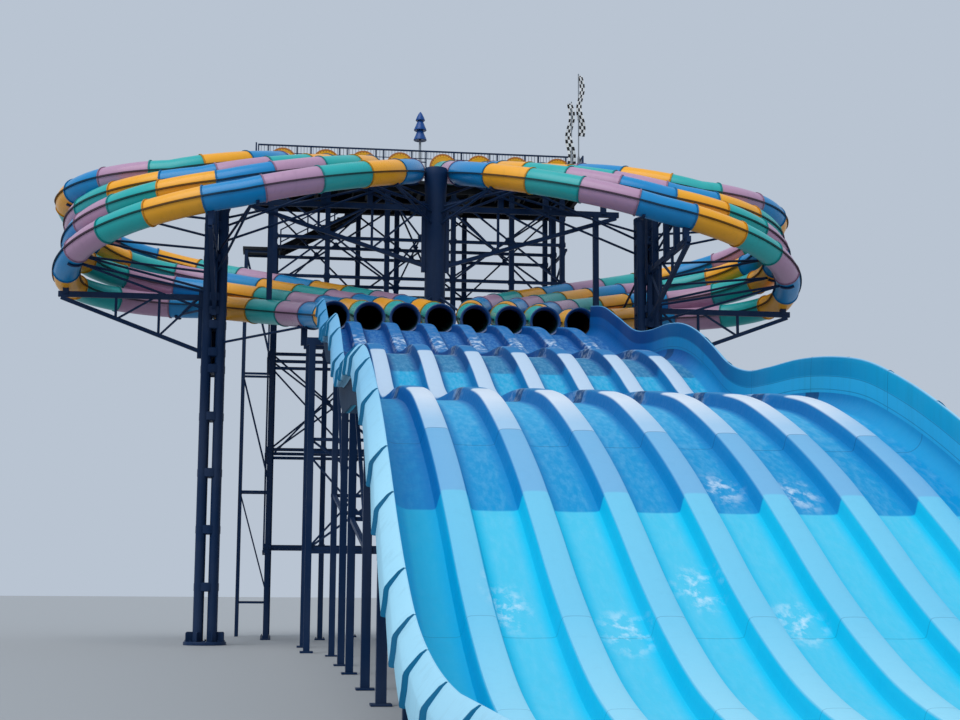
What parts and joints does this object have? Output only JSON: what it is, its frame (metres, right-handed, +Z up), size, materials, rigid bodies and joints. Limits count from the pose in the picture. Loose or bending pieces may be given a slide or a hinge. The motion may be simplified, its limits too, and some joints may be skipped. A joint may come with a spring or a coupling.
{
  "type": "mat racer slide tower, 1:2 scale model",
  "caption": "Water slide tower: a railed start platform on steel legs, coloured closed tubes that loop round steel columns, and an open multi-lane racing bed with several drops.",
  "frame": {"origin": "on the lowest ground, midway between the lanes, in the plane of the tube mouths", "axes": "+X across the lanes to the rider's left as they slide, +Y uphill towards the start platform, +Z up"},
  "size_m": [13.9532, 30.8199, 11.7],
  "materials": {
    "teal": "gloss fibreglass",
    "mauve": "gloss fibreglass",
    "blue": "gloss fibreglass",
    "yellow": "gloss fibreglass",
    "navy_steel": "satin paint",
    "deck_grey": "non-slip coating",
    "bed_blue": "gloss gel coat",
    "wall_blue": "gloss gel coat",
    "checker": "black and white paint"
  },
  "bodies": {
    "root": {"back_left_railing": "navy_steel", "back_legs": "navy_steel", "back_right_railing": "navy_steel", "centre_column": "navy_steel", "centre_left_arm": "navy_steel", "centre_right_arm": "navy_steel", "finial": "blue", "first_drop_lanes": "bed_blue", "front_legs": "navy_steel", "front_railing": "navy_steel", "landing_frame": "navy_steel", "left_back_arm": "navy_steel", "left_bracing": "navy_steel", "left_column": "navy_steel", "left_front_arm": "navy_steel", "left_hood_1": "yellow", "left_hood_2": "yellow", "left_hood_3": "yellow", "left_hood_4": "yellow", "left_outer_arm": "navy_steel", "left_pennant": "checker", "left_railing": "navy_steel", "left_tube_1": "teal", "left_tube_2": "mauve", "left_tube_3": "blue", "left_tube_4": "yellow", "lower_bed_frame": "navy_steel", "lower_left_wall": "wall_blue", "lower_right_wall": "wall_blue", "middle_bed_frame": "navy_steel", "middle_legs": "navy_steel", "mouth_frame": "navy_steel", "platform_beams": "navy_steel", "platform_deck": "deck_grey", "return_frame": "navy_steel", "right_back_arm": "navy_steel", "right_bracing": "navy_steel", "right_column": "navy_steel", "right_front_arm": "navy_steel", "right_hood_1": "yellow", "right_hood_2": "yellow", "right_hood_3": "yellow", "right_hood_4": "yellow", "right_outer_arm": "navy_steel", "right_pennant": "checker", "right_railing": "navy_steel", "right_tube_1": "teal", "right_tube_2": "mauve", "right_tube_3": "blue", "right_tube_4": "yellow", "runout_lanes": "bed_blue", "second_drop_lanes": "bed_blue", "stair_flight": "navy_steel", "stair_landing": "deck_grey", "stair_rail": "navy_steel", "third_drop_lanes": "bed_blue", "upper_bed_frame": "navy_steel", "upper_left_wall": "wall_blue", "upper_right_wall": "wall_blue"}
  },
  "joints": []
}
